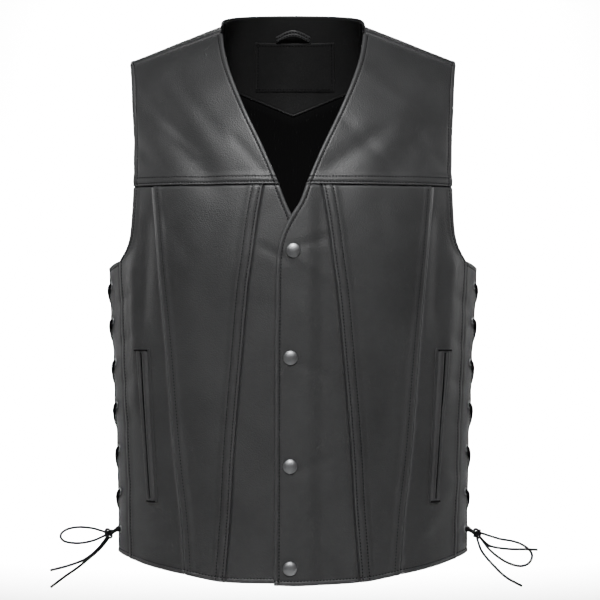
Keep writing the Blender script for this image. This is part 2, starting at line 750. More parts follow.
def tube_mesh(path, radius, reference, sides, flatness):
    """Tube round a path: rings across it, turned by a fixed reference direction, closed by caps. The
    first and last rings are narrower, so that the ends are rounded. Flatness is the thickness of the
    section across the reference as a share of its width."""
    path = np.asarray(path, float)
    tangent = unit(np.gradient(path, axis=0))
    across = unit(np.cross(tangent, np.broadcast_to(reference, path.shape)))
    up = np.cross(across, tangent)
    tip = TIP_LENGTH * radius
    path = np.concatenate([path[:1] - tangent[0] * tip, path, path[-1:] + tangent[-1] * tip])
    across = np.concatenate([across[:1], across, across[-1:]])
    up = np.concatenate([up[:1], up, up[-1:]])
    radii = np.full(len(path), float(radius))
    radii[[0, -1]] *= TIP_WIDTH
    turn = full_turn(sides)
    ring = flatness * np.cos(turn)[:, None] * across[:, None] + np.sin(turn)[:, None] * up[:, None]
    vertices = (path[:, None] + ring * radii[:, None, None]).reshape(-1, 3)
    count = len(path)
    index = np.arange(count * sides).reshape(count, sides)
    side = np.roll(index, -1, axis=1)
    quads = np.stack([index[:-1], side[:-1], side[1:], index[1:]], axis=-1).reshape(-1, 4)
    ends = np.array([count * sides, count * sides + 1])
    vertices = np.concatenate([vertices, path[:1], path[-1:]])
    start = np.stack([side[0], index[0], np.full(sides, ends[0]), np.full(sides, ends[0])], axis=-1)
    stop = np.stack([index[-1], side[-1], np.full(sides, ends[1]), np.full(sides, ends[1])], axis=-1)
    return vertices, quads, np.concatenate([start, stop])[:, :3]


def tube_object(name, path, radius, reference, material, sides=12, flatness=1.0):
    vertices, quads, caps = tube_mesh(path, radius, reference, sides, flatness)
    triangles = np.concatenate([quads[:, :3], quads[:, [0, 2, 3]], caps])
    return mesh_object(name, vertices, outward(vertices, triangles), material)


def run_of(points, exponent=1.0):
    """Distance from the first point to each point, summed over the chords to a power."""
    chords = np.linalg.norm(np.diff(points, axis=0), axis=1)
    return np.concatenate([[0], np.cumsum(chords**exponent)])


def at_run(where, run, values):
    return np.stack([np.interp(where, run, values[:, k]) for k in range(3)], axis=1)


def smooth_path(points, steps):
    """Smooth curve through points, with the square root of the chord as its parameter."""
    points = np.asarray(points, float)
    place = run_of(points, 0.5)
    last = len(points) - 1
    where = np.interp(np.linspace(0, last, last * steps + 1), np.arange(last + 1), place)
    return np.stack([curve_of(np.stack([place, points[:, k]], axis=1))(where) for k in range(3)], axis=1)


def even_path(path, step):
    """The same path with points an even step apart."""
    run = run_of(path)
    count = max(int(run[-1] / step), 2)
    return at_run(np.linspace(0, run[-1], count + 1), run, path)


def lathe_mesh(profile, segments):
    """Solid of revolution about +Z: its profile of (radius, height) closes on the axis or on itself."""
    profile = np.asarray(profile, float)
    turn = full_turn(segments)
    x = profile[:, 0, None] * np.cos(turn)
    y = profile[:, 0, None] * np.sin(turn)
    z = np.broadcast_to(profile[:, 1, None], x.shape)
    vertices = np.stack([x, y, z], axis=-1).reshape(-1, 3)
    index = np.arange(len(vertices)).reshape(len(profile), segments)
    side = np.roll(index, -1, axis=1)
    faces = np.stack([index[:-1], side[:-1], side[1:], index[1:]], axis=-1).reshape(-1, 4)
    return vertices, faces


def stood_on(vertices, point, normal):
    """Vertices of a piece whose own +Z is laid along a normal at a point."""
    normal = unit(np.asarray(normal, float))
    reference = np.array((0, 0, 1.0)) if abs(normal[2]) < 0.9 else np.array((0, 1.0, 0))
    across = unit(np.cross(reference, normal))
    along = np.cross(normal, across)
    return vertices[:, :1] * across + vertices[:, 1:2] * along + vertices[:, 2:] * normal + point


WELD_DISTANCE = 1e-6


def weld(obj):
    """Merges doubled points, such as the poles of a lathe, and makes the faces point outwards."""
    shape = bmesh.new()
    shape.from_mesh(obj.data)
    bmesh.ops.remove_doubles(shape, verts=shape.verts, dist=WELD_DISTANCE)
    bmesh.ops.dissolve_degenerate(shape, dist=WELD_DISTANCE / 2, edges=shape.edges)
    bmesh.ops.recalc_face_normals(shape, faces=shape.faces)
    shape.to_mesh(obj.data)
    shape.free()
    obj.data.update()


# Stitches: how far the middle stands up, the ends dip and the ends taper, as shares of the thread's radius

STITCH_RINGS = 5
STITCH_SIDES = 5
STITCH_LIFT = 0.45
STITCH_DIP = 1.6
STITCH_TAPER = 0.35


def stitch_mesh(rows, pitch, length, radius):
    """Stitches along rows of (points, normals): each is a short five sided rod whose ends dip into the
    leather, laid along the row at an even pitch."""
    rings, sides = STITCH_RINGS, STITCH_SIDES
    centres, tangents, normals = [], [], []
    for points, above in rows:
        run = run_of(points)
        where = (np.arange(int(run[-1] / pitch)) + 0.5) * pitch
        centres.append(at_run(where, run, points))
        tangents.append(unit(at_run(where + 0.5, run, points) - at_run(where - 0.5, run, points)))
        normals.append(unit(at_run(where, run, above)))
    centre, tangent, normal = (np.concatenate(part) for part in (centres, tangents, normals))
    across = unit(np.cross(tangent, normal))
    normal = np.cross(across, tangent)
    share = np.linspace(-1, 1, rings)
    lift = radius * (STITCH_LIFT - STITCH_DIP * share**4)
    width = radius * (1 - STITCH_TAPER * share**4)
    turn = full_turn(sides)
    along = (share * length / 2)[:, None]
    axis = centre[:, None] + tangent[:, None] * along + normal[:, None] * lift[:, None]
    ring = across[:, None] * np.cos(turn)[None, :, None] + normal[:, None] * np.sin(turn)[None, :, None]
    vertices = axis[:, :, None] + ring[:, None] * width[None, :, None, None]
    total = len(centre)
    index = np.arange(total * rings * sides).reshape(total, rings, sides)
    side = np.roll(index, -1, axis=2)
    quads = np.stack([index[:, :-1], index[:, 1:], side[:, 1:], side[:, :-1]], axis=-1).reshape(-1, 4)
    triangles = np.concatenate([quads[:, :3], quads[:, [0, 2, 3]]])
    caps = []
    for ring_index, flip in ((0, False), (rings - 1, True)):
        end = index[:, ring_index]
        for corner in range(1, sides - 1):
            cap = np.stack([end[:, 0], end[:, corner], end[:, corner + 1]], axis=-1)
            caps.append(cap[:, ::-1] if flip else cap)
    triangles = np.concatenate([triangles, *caps])
    vertices = vertices.reshape(-1, 3)
    return vertices, outward(vertices, triangles)


def stitch_object(name, rows, material, sizes):
    pitch, length, radius = sizes.stitch_pitch / MM, sizes.stitch_length / MM, sizes.thread / MM / 2
    vertices, faces = stitch_mesh(rows, pitch, length, radius)
    made = mesh_object(name, vertices, faces, material)
    return finish_piece(made)


# Panels of the vest: distances from the middle at which the seams reach the hem

INNER_FOOT_X = 74
OUTER_FOOT_X = 118
STRIP_FOOT_X = 182
SIDE_FOOT_X = 208
NECK_SEAM_Z = 8.5


def yoke_panel(side):
    def place(u, v, out):
        neck_z = lerp(NECK_SEAM_Z, YOKE_Z + GAP / 2, v)
        arm_z = lerp(FRONT_ARMHOLE[0][0], YOKE_Z + GAP / 2, v)
        z = lerp(neck_z, arm_z, u)
        x = lerp(neck_edge_x(neck_z), front_armhole_x(arm_z), u)
        return front_place(side * angle_of_x(x, z), z, out)

    return Panel(place, {"near": "turned", "far": "turned", "top": "seamed", "foot": "lapped"})


def between(side, inner_x, outer_x, inner_foot, outer_foot, lift=None, rise=0.0):
    """Placing function of a panel that hangs from the yoke to the hem between two edge curves."""
    def place(u, v, out):
        guess = lerp(inner_foot, outer_foot, u)
        z = lerp(YOKE_Z - GAP / 2, hem_z(np.abs(guess)) + rise * (1 - u), v)
        inner = angle_of_x(inner_x(z) + GAP / 2, z)
        outer = angle_of_x(outer_x(z) - GAP / 2, z)
        angle = side * lerp(inner, outer, u)
        if lift:
            out = out + lift(front_point(angle, z)[..., 0])
        return front_place(angle, z, out)

    return place


def overlap_lift(x):
    return OVERLAP_LIFT * (1 - smoothstep(OVERLAP_FULL_X, OVERLAP_FLAT_X, x))


def centre_panel(side):
    foot, lift, rise = (-20, overlap_lift, 0.0) if side > 0 else (-13, None, UNDER_HEM_RISE)

    def inner_x(z):
        return np.where(z > YOKE_Z, neck_edge_x(z), placket_x(z) if side > 0 else -underlap_x(z))

    place = between(side, inner_x, inner_seam_x, foot, INNER_FOOT_X, lift=lift, rise=rise)
    return Panel(place, {"near": "turned", "far": "covered", "top": "covered", "foot": "turned"})


def middle_panel(side):
    place = between(side, inner_seam_x, outer_seam_x, INNER_FOOT_X, OUTER_FOOT_X)
    return Panel(place, {"near": "lapped", "far": "single", "top": "covered", "foot": "turned"})


def side_edge_x(z):
    return np.where(z > FRONT_ARMHOLE[-1][0], front_armhole_x(z), strip_seam_x(z))


def side_panel(side):
    place = between(side, outer_seam_x, side_edge_x, OUTER_FOOT_X, STRIP_FOOT_X)
    return Panel(place, {"near": "covered", "far": "lipped", "top": "covered", "foot": "turned"})


def strip_panel(side):
    def place(u, v, out):
        top = lerp(FRONT_ARMHOLE[-1][0] - GAP, ARMHOLE_FOOT_Z, u)
        z = lerp(top, hem_z(lerp(STRIP_FOOT_X, SIDE_FOOT_X, u)), v)
        inner = angle_of_x(strip_seam_x(z) + GAP / 2, z)
        outer = angle_of_depth(SIDE_EDGE["front"], front_depth(z))
        return front_place(side * lerp(inner, outer, u), z, out)

    return Panel(place, {"near": "sunk", "far": "turned", "top": "turned", "foot": "turned"}, spacing=2.6)


def back_hem_z(x):
    return hem_z(np.abs(x)) + BACK_HEM_RISE * (1 - smoothstep(60, 190, np.abs(x)))


# Back: lengths of a column below and above the blade line, and the height where a column's x is read
LOWER_BACK = 440.0
UPPER_BACK = 215.0
HEM_GUESS = -600.0


def back_panel():
    def place(u, v, out):
        """A column's v is spread over its stretches below the blade line, above it and over the shoulder."""
        u = lerp(-1, 1, u)
        upper = UPPER_BACK + SEAM_LENGTH * back_top(u)[3]
        along = (1 - v) * (LOWER_BACK + upper)
        hem_w = height_to_w(back_hem_z(back_lower(u, np.full(np.shape(u), HEM_GUESS))[..., 0]))
        w = np.where(along < LOWER_BACK, lerp(hem_w, 0, along / LOWER_BACK), (along - LOWER_BACK) / upper)
        return back_place(u, w, out)

    return Panel(place, all_round("turned"), spacing=3.4)


def facing_foot_z(x):
    return FACING_TIP_Z + FACING_SLOPE * np.minimum(np.abs(x), FACING_HALF)


def bisect(distance, shape, low, high):
    """Where a rising function of arrays of a shape passes zero between two values, by halving."""
    low, high = np.full(shape, float(low)), np.full(shape, float(high))
    for _ in range(40):
        middle = (low + high) / 2
        under = distance(middle) < 0
        low, high = np.where(under, middle, low), np.where(under, high, middle)
    return (low + high) / 2


def back_at(x, z):
    """Columns and places on the back whose front view position is x, z."""
    u = np.zeros(np.shape(x))
    for _ in range(8):
        w = bisect(lambda value: back_point(u, value)[..., 2] - z, np.shape(x), -1.9, 0.84)
        u = bisect(lambda value: back_point(value, w)[..., 0] - x, np.shape(x), -1.0, 1.0)
    return u, w


def foot_w(u, drop=0.0):
    """Place on each column where the pointed lower edge of the facing crosses it."""
    def above(w):
        point = back_point(u, w)
        return point[..., 2] - facing_foot_z(point[..., 0]) + drop

    return bisect(above, np.shape(u), -1.5, 0.84)


def facing_panel():
    def place(u, v, out):
        column = lerp(-FACING_U, FACING_U, u)
        w = lerp(FACING_TOP_W, foot_w(column), v)
        return back_place(column, w, out - INSIDE_BACK, fine=False)

    return Panel(place, all_round("seamed"), spacing=3.0, thickness=FACING)


LINING_WIDTH = 372.0
LINING_ROWS = 44
LINING_ABOVE_HEM = 22
RIB_PITCH = 3.4
RIB_DEPTH = 0.35
SEAM_DIP = 0.5
SEAM_DIP_WIDTH = 1.2


def lining_object(material):
    """Back lining: rows from the hem to the facing's edge, ribbed down its length by a cosine across, with
    a narrow dip along the middle seam."""
    columns = np.linspace(-1, 1, int(LINING_WIDTH / RIB_PITCH) * 4 + 1)
    across = columns * LINING_WIDTH / 2
    u = LINING_U * columns[None, :]
    rows = np.linspace(0, 1, LINING_ROWS)[:, None]
    hem = height_to_w(back_hem_z(0) + LINING_ABOVE_HEM)
    top = np.minimum(foot_w(u, drop=GAP), LINING_TOP_W)
    w = lerp(hem, top, rows) + 0 * u
    u = u + 0 * w
    rib = RIB_DEPTH * np.cos(across / RIB_PITCH * 2 * np.pi)
    centre = SEAM_DIP * np.exp(-((across / SEAM_DIP_WIDTH) ** 2))
    depth = -(INSIDE_BACK + LINING + 0 * w)
    inner_face = back_place(u, w, depth - (rib + RIB_DEPTH) / 2 + centre, fine=False)
    outer_face = back_place(u, w, depth + LINING, fine=False)
    vertices, faces = shell_mesh(outer_face, inner_face)
    made = mesh_object("lining_back", vertices, faces, material)
    finish_piece(made, "lining_back")


# Materials: sizes of the noises in features per metre, shades as shares of the mean colour

DRIFT_SCALE = 300
DRIFT = 0.0012
CELL_SMOOTHNESS = 0.35
PEBBLE_EDGES = (0.15, 0.75)
SWELL_SCALE = 55
UNEVENNESS = 0.4
BLOTCH_SCALE = 14
BLOTCH_SHADES = (0.72, 1.25)
RUB_STRENGTH = 0.55
RUB_SHADE = 2.1
WEAVE_SCALE = 900
SCRATCH_SCALE = 1200
MIDDLE_OF_NOISE = (0.25, 0.75)
LEATHERS = {
    "panel_leather": {},
    "facing_leather": {"shade": 0.32, "worn": False, "gloss": 0.25, "grip": 0.35},
    "welt_leather": {"shade": 1.05, "worn": False},
}
CLOTHS = {
    "lining_cloth": ((0.0012, 0.0012, 0.0013), 0.9, 0.08),
    "lace_cord": ((0.007, 0.007, 0.0074), 0.85, 0.04),
    "thread": ((0.003, 0.003, 0.0033), 0.85, 0.1),
}
METALS = {
    "snap_steel": ((0.26, 0.263, 0.268), 0.4),
    "eyelet_steel": ((0.26, 0.26, 0.266), 0.36),
}


def add_node(tree, kind, inputs, **settings):
    """A shader node: an input given as a socket is linked, and any other is set."""
    node = tree.nodes.new(f"ShaderNode{kind}")
    for name, value in settings.items():
        setattr(node, name, value)
    for name, value in inputs.items():
        if hasattr(value, "links"):
            tree.links.new(value, node.inputs[name])
        else:
            node.inputs[name].default_value = value
    return node


def object_noise(tree, scale, detail, **inputs):
    """Noise laid over the object's own coordinates, in features per metre."""
    place = add_node(tree, "TexCoord", {}).outputs["Object"]
    return add_node(tree, "TexNoise", {"Vector": place, "Scale": scale, "Detail": detail, **inputs}).outputs


def new_material(name, **inputs):
    material = bpy.data.materials.new(name)
    material.use_nodes = True
    tree = material.node_tree
    tree.nodes.clear()
    shader = add_node(tree, "BsdfPrincipled", {key.replace("_", " "): value for key, value in inputs.items()})
    add_node(tree, "OutputMaterial", {"Surface": shader.outputs["BSDF"]})
    return material, tree, shader


def grain_group():
    """Pebbled hide: small rounded cells, shoved a little so that no two are alike, on a slow swell. It
    gives a height and a mask of slow blotches."""
    group = bpy.data.node_groups.new("hide_grain", "ShaderNodeTree")
    sockets = (("Cell Size", "INPUT"), ("Unevenness", "INPUT"), ("Height", "OUTPUT"), ("Blotch", "OUTPUT"))
    for name, way in sockets:
        group.interface.new_socket(name=name, in_out=way, socket_type="NodeSocketFloat")
    entry, leave = group.nodes.new("NodeGroupInput").outputs, group.nodes.new("NodeGroupOutput").inputs
    scale = add_node(group, "Math", {0: 1.0, 1: entry["Cell Size"]}, operation="DIVIDE").outputs[0]
    drift = object_noise(group, DRIFT_SCALE, 2)["Color"]
    place = add_node(group, "TexCoord", {}).outputs["Object"]
    shoved = add_node(group, "VectorMath", {0: drift, 1: (DRIFT,) * 3, 2: place}, operation="MULTIPLY_ADD")
    inputs = {"Vector": shoved.outputs["Vector"], "Scale": scale, "Smoothness": CELL_SMOOTHNESS}
    cells = add_node(group, "TexVoronoi", inputs, feature="SMOOTH_F1")
    pebble = map_range(group, cells.outputs["Distance"], 1.0, 0.0, PEBBLE_EDGES)
    swell = object_noise(group, SWELL_SCALE, 3)["Fac"]
    uneven = add_node(group, "Math", {0: swell, 1: entry["Unevenness"]}, operation="MULTIPLY").outputs[0]
    total = add_node(group, "Math", {0: pebble, 1: uneven}, operation="ADD").outputs[0]
    group.links.new(total, leave["Height"])
    group.links.new(object_noise(group, BLOTCH_SCALE, 4, Roughness=0.6)["Fac"], leave["Blotch"])
    return group


def mix_color(tree, factor, first, second):
    """Blend of two colours, each a value or a socket, by a mask socket."""
    first, second = (value if hasattr(value, "links") else (*value, 1.0) for value in (first, second))
    return add_node(tree, "Mix", {"Factor": factor, 6: first, 7: second}, data_type="RGBA").outputs[2]


def map_range(tree, value, low, high, between=MIDDLE_OF_NOISE):
    inputs = {"Value": value, "From Min": between[0], "From Max": between[1], "To Min": low, "To Max": high}
    return add_node(tree, "MapRange", inputs).outputs["Result"]


def shaded(color, share):
    return tuple(value * share for value in color)


def bump(tree, height, strength, distance):
    inputs = {"Height": height, "Strength": strength, "Distance": distance}
    return add_node(tree, "Bump", inputs).outputs["Normal"]


def leather_material(name, grain, sizes, shade=1.0, worn=True, gloss=0.5, grip=0.55):
    """Hide with the grain group's pebbles and blotches; a worn one is lighter along its rubbed edges."""
    material, tree, shader = new_material(name, Specular_IOR_Level=gloss)
    hide = tree.nodes.new("ShaderNodeGroup")
    hide.node_tree = grain
    hide.inputs["Cell Size"].default_value = sizes.grain
    hide.inputs["Unevenness"].default_value = UNEVENNESS
    blotch = hide.outputs["Blotch"]
    base = sizes.leather_color
    color = mix_color(tree, blotch, *(shaded(base, shade * share) for share in BLOTCH_SHADES))
    if worn:
        rub = add_node(tree, "Attribute", {}, attribute_name="rub").outputs["Fac"]
        fade = add_node(tree, "Math", {0: rub, 1: RUB_STRENGTH}, operation="MULTIPLY").outputs[0]
        color = mix_color(tree, fade, color, shaded(base, RUB_SHADE))
    rough = sizes.leather_roughness
    tree.links.new(color, shader.inputs["Base Color"])
    tree.links.new(map_range(tree, blotch, rough - 0.05, rough + 0.07), shader.inputs["Roughness"])
    tree.links.new(bump(tree, hide.outputs["Height"], grip, 0.00025), shader.inputs["Normal"])
    return material


def cloth_material(name, color, roughness, gloss):
    material, tree, shader = new_material(name, Roughness=roughness, Specular_IOR_Level=gloss)
    weave = object_noise(tree, WEAVE_SCALE, 2)["Fac"]
    mixed = mix_color(tree, weave, shaded(color, 0.6), shaded(color, 1.5))
    tree.links.new(mixed, shader.inputs["Base Color"])
    tree.links.new(bump(tree, weave, 0.4, 0.0002), shader.inputs["Normal"])
    return material


def metal_material(name, color, roughness):
    material, tree, shader = new_material(name, Metallic=1.0)
    scratch = object_noise(tree, SCRATCH_SCALE, 3)["Fac"]
    tree.links.new(mix_color(tree, scratch, shaded(color, 0.75), color), shader.inputs["Base Color"])
    tree.links.new(map_range(tree, scratch, roughness - 0.06, roughness + 0.08), shader.inputs["Roughness"])
    return material


def plain_material(name, grey):
    return new_material(name, Base_Color=(grey, grey, grey, 1.0), Roughness=0.9)[0]


def material(name):
    """A material by name, made the first time that a piece asks for it."""
    found = bpy.data.materials.get(name)
    if found:
        return found
    if name in LEATHERS:
        grain = bpy.data.node_groups.get("hide_grain") or grain_group()
        return leather_material(name, grain, bpy.context.scene.vest_sizes, **LEATHERS[name])
    if name in CLOTHS:
        return cloth_material(name, *CLOTHS[name])
    return metal_material(name, *METALS[name])


# Settings

def length_setting(name, description, default, low):
    return FloatProperty(name=name, description=description, default=default, min=low, unit="LENGTH")


def power_setting(name, description, default):
    return FloatProperty(name=name, description=description, default=default, unit="POWER")


class VestSizes(bpy.types.PropertyGroup):
    leather_color: FloatVectorProperty(
        name="Leather colour", description="Mean colour of the hide", subtype="COLOR", size=3,
        default=(0.020, 0.0202, 0.0208), min=0, max=1)
    leather_roughness: FloatProperty(
        name="Leather roughness", description="Mean roughness of the finish", default=0.49, min=0.1, max=1)
    grain: length_setting("Grain", "Size of a pebble of the grain", 0.0012, 0.0003)
    stitch_pitch: length_setting("Stitch pitch", "Distance from stitch to stitch", 0.0036, 0.001)
    stitch_length: length_setting("Stitch length", "Length of one stitch", 0.0026, 0.001)
    thread: length_setting("Thread", "Thickness of the thread", 0.001, 0.0002)
    snap_segments: IntProperty(
        name="Snap segments", description="Sides of a snap cap", default=56, min=12)


class VestLight(bpy.types.PropertyGroup):
    key_power: power_setting("Key light", "Power of the large light in front and above", 15)
    fill_power: power_setting("Fill light", "Power of each light at the sides", 8)
    front_power: power_setting("Front light", "Power of the weak light at the camera", 1.3)
    top_power: power_setting("Top light", "Power of the light over the shoulders", 5)
    backdrop_power: power_setting("Backdrop light", "Power of the light on the backdrop", 520)
    ambient: FloatProperty(
        name="Ambient", description="Strength of the light from all round", default=0.014, min=0)


# Operators

class VEST_OT_camera(bpy.types.Operator):
    """Puts the camera where the photograph was taken from"""
    bl_idname = "vest.camera"
    bl_label = "Camera"

    def execute(self, context):
        camera = bpy.data.objects.new("camera", bpy.data.cameras.new("camera"))
        context.scene.collection.objects.link(camera)
        camera.location = [value * MM for value in CAMERA_AT]
        camera.rotation_euler = (math.pi / 2, 0, 0)
        camera.data.lens = CAMERA_LENS
        camera.data.sensor_width = CAMERA_SENSOR
        context.scene.camera = camera
        return {"FINISHED"}


KNOT_SWING = 0.42
KNOT_LEAN = (0.9, 0.3, 0.2)


def knot_seat(side, point):
    """Place in the skin of the knot where a cord coming from a point enters it, in millimetres."""
    centre = np.array((side * KNOT_X, 0.0, KNOT_Z))
    away = np.asarray(point, float) - centre
    reach = np.linalg.norm(away / KNOT_RADII)
    return centre + away * (1 / reach - KNOT_SKIN / np.linalg.norm(away))


class VEST_OT_bows(bpy.types.Operator):
    """Makes the knot, the loop and the two free ends of each lace"""
    bl_idname = "vest.bows"
    bl_label = "Bows"

    def execute(self, context):
        for name, side in SIDES:
            knot = self.knot(name, side)
            for part in ("bow_loop", "lace_tail_a", "lace_tail_b"):
                node = f"{part}_{name}"
                points = np.array(BOW_ROUTES[node], float)
                points[0] = knot_seat(side, points[0])
                looped = part == "bow_loop"
                if looped:
                    points[-1] = knot_seat(side, points[-1])
                path = even_path(smooth_path(points, 16), 1.2)
                cord = tube_object(node, path, LACE_RADIUS, (0, 1, 0), material("lace_cord"), sides=16)
                finish_piece(cord, node)
        return {"FINISHED"}

    def knot(self, name, side):
        """The knot: one strand that winds twice round a ring while it passes through it three times."""
        turn = full_turn(180)
        ring = (1.0 + KNOT_SWING * np.cos(3 * turn)) / (1 + KNOT_SWING)
        strand = np.stack([np.sin(3 * turn), ring * np.cos(2 * turn), ring * np.sin(2 * turn)], axis=1)
        path = strand * (KNOT_RADII - LACE_RADIUS - 0.1) + np.array((side * KNOT_X, 0, KNOT_Z))
        path = np.concatenate([path, path[:1]])
        made = tube_object(f"lace_knot_{name}", path, LACE_RADIUS, KNOT_LEAN, material("lace_cord"))
        return finish_piece(made, f"lace_knot_{name}")


# One crossing of a lace: share of the way down, distance past the eyelet, distance out
LACE_CROSSED = 3.3
CROSSING = (
    (0.0, 0.0, -1.0), (0.03, 1.2, 2.45), (0.2, 12.0, 1.3), (0.5, 34.0, -1.6), (0.8, 14.0, -4.4),
    (0.97, 1.2, -4.8),
)

# From the last eyelet to the knot: distance past the eyelet, down and out. Bar inside at the top: y and out
LACE_FOOT = ((0, 0, -1.0), (1.2, 1, 3.3), (13, 3.5, 4.2))
TOP_BAR = ((-31.6, -4.8), (-19, -4.8), (1, -4.2), (21, -4.8), (33.6, -4.8))
OTHER_FACE = {"front": "back", "back": "front"}


def lace_crossing(side, from_face, from_z, to_z):
    """Points of one crossing: out over its own edge, across the gap, and in under the other edge. The lace
    from the back passes under the other where they cross."""
    to_face = OTHER_FACE[from_face]
    from_y, to_y = EYELET_Y[from_face], EYELET_Y[to_face]
    inwards = 1 if to_y > from_y else -1
    points = []
    for share, past, out in CROSSING:
        middle = share == 0.5
        y = 1.0 if middle else from_y + inwards * past if share < 0.4 else to_y - inwards * past
        under = LACE_CROSSED if middle and from_face == "back" else 0
        points.append(side_place(side, y, lerp(from_z, to_z, share), out - under))
    return points


def lace_route(side):
    """The whole lace of one side: up one zigzag, along the top bar inside, and down the other."""
    halves = []
    for start in ("back", "front"):
        points = []
        face = start
        for above, below in zip(EYELET_HEIGHTS, EYELET_HEIGHTS[1:]):
            points += lace_crossing(side, face, above, below)
            face = OTHER_FACE[face]
        inwards = 1 if face == "front" else -1
        for past, down, out in LACE_FOOT:
            points.append(side_place(side, EYELET_Y[face] + inwards * past, EYELET_HEIGHTS[-1] - down, out))
        points.append(knot_seat(side, (side * (KNOT_X - 7.6), -inwards * 3.4, KNOT_Z + 1)))
        halves.append(points)
    bar = [side_place(side, y, EYELET_HEIGHTS[0], out) for y, out in TOP_BAR]
    return halves[1][::-1] + bar + halves[0]


class VEST_OT_laces(bpy.types.Operator):
    """Threads the lace of each side through its eyelets"""
    bl_idname = "vest.laces"
    bl_label = "Side laces"

    def execute(self, context):
        for name, side in SIDES:
            path = even_path(smooth_path(lace_route(side), 10), 0.9)
            cord = material("lace_cord")
            lace = tube_object(f"lace_{name}", path, RUN_RADIUS, (0, 0, 1), cord, 14, RUN_FLATNESS)
            finish_piece(lace, f"lace_{name}")
        return {"FINISHED"}


EYELET_PROFILE = (
    (2.8, -2.3), (3.2, -2.3), (3.2, 0.4), (4.3, 0.45), (4.4, 0.75), (4.1, 1.15), (3.6, 1.38), (3.1, 1.35),
    (2.85, 1.1), (2.8, 0.8), (2.8, -2.3),
)
HOLE_PROFILE = ((0, -8), (3.5, -8), (3.5, 8), (0, 8))


def at_eyelet(vertices, side, face, z):
    y = EYELET_Y[face]
    return stood_on(vertices, side_place(side, y, z, 0.0), side_normal(side, y, z))


class VEST_OT_eyelets(bpy.types.Operator):
    """Sets the eyelets: a barrel through the leather with a rolled rim"""
    bl_idname = "vest.eyelets"
    bl_label = "Eyelets"

    def execute(self, context):
        vertices, faces = lathe_mesh(EYELET_PROFILE, 28)
        for name, side in SIDES:
            for face in ("front", "back"):
                for index, z in enumerate(EYELET_HEIGHTS):
                    node = f"eyelet_{face}_{name}_{index + 1}"
                    placed = at_eyelet(vertices, side, face, z)
                    ring = mesh_object(node, placed, faces, material("eyelet_steel"))
                    weld(ring)
                    finish_piece(ring, node)
        return {"FINISHED"}


def punch(panel_piece, sides, face):
    """Cuts the eyelet holes through a panel."""
    vertices, faces = [], []
    for side in sides:
        for z in EYELET_HEIGHTS:
            rod, quads = lathe_mesh(HOLE_PROFILE, 20)
            placed = at_eyelet(rod, side, face, z)
            faces.append(quads + sum(len(part) for part in vertices))
            vertices.append(placed)
    cutter = mesh_object("eyelet_cutter", np.concatenate(vertices), np.concatenate(faces))
    weld(cutter)
    cut = panel_piece.modifiers.new("eyelet holes", "BOOLEAN")
    cut.operation = "DIFFERENCE"
    cut.solver = "EXACT"
    cut.object = cutter
    made = bpy.data.meshes.new_from_object(panel_piece.evaluated_get(bpy.context.evaluated_depsgraph_get()))
    panel_piece.modifiers.clear()
    old = panel_piece.data
    panel_piece.data = made
    bpy.data.meshes.remove(old)
    bpy.data.objects.remove(cutter)
    made.polygons.foreach_set("use_smooth", np.ones(len(made.polygons), bool))


FRONT_PANELS = {
    "front_yoke": yoke_panel, "front_centre": centre_panel, "front_middle": middle_panel,
    "front_side": side_panel, "front_lace_strip": strip_panel,
}


class VEST_OT_front(bpy.types.Operator):
    """Cuts and places the front panels and their stitches"""
    bl_idname = "vest.front"
    bl_label = "Front panels"

    def execute(self, context):
        sizes = context.scene.vest_sizes
        for name, side in SIDES:
            leather = material("panel_leather")
            panels = {part: make(side) for part, make in FRONT_PANELS.items()}
            for part, panel in panels.items():
                made = panel_object(f"{part}_{name}", panel, leather)
                if part == "front_lace_strip":
                    punch(made, (side,), "front")
            stitch_object(f"topstitch_front_{name}", self.rows(panels), material("thread"), sizes)
        return {"FINISHED"}

    def rows(self, panels):
        """Stitch rows of one half: two along lapped seams, one along turned edges."""
        yoke, centre, middle, side, strip = panels.values()
        lapped = ((yoke, "foot"), (middle, "near"))
        rows = [panel.row(edge, distance) for distance in SEAM_ROWS for panel, edge in lapped]
        rows.append(middle.row("far", SINGLE_ROW))
        turned = (
            (yoke, "near"), (yoke, "far"), (centre, "near"), (side, "far"), (strip, "far"), (strip, "top"),
        )
        rows += [panel.row(edge, EDGE_ROW) for panel, edge in turned]
        return rows + [panel.row("foot", EDGE_ROW) for panel in (centre, middle, side, strip)]


class VEST_OT_back(bpy.types.Operator):
    """Cuts and places the back and its stitches"""
    bl_idname = "vest.back"
    bl_label = "Back"

    def execute(self, context):
        panel = back_panel()
        made = panel_object("back_panel", panel, material("panel_leather"))
        punch(made, (-1, 1), "back")
        rows = [panel.row(edge, EDGE_ROW, count=700) for edge in EDGES]
        stitch_object("topstitch_back", rows, material("thread"), context.scene.vest_sizes)
        return {"FINISHED"}


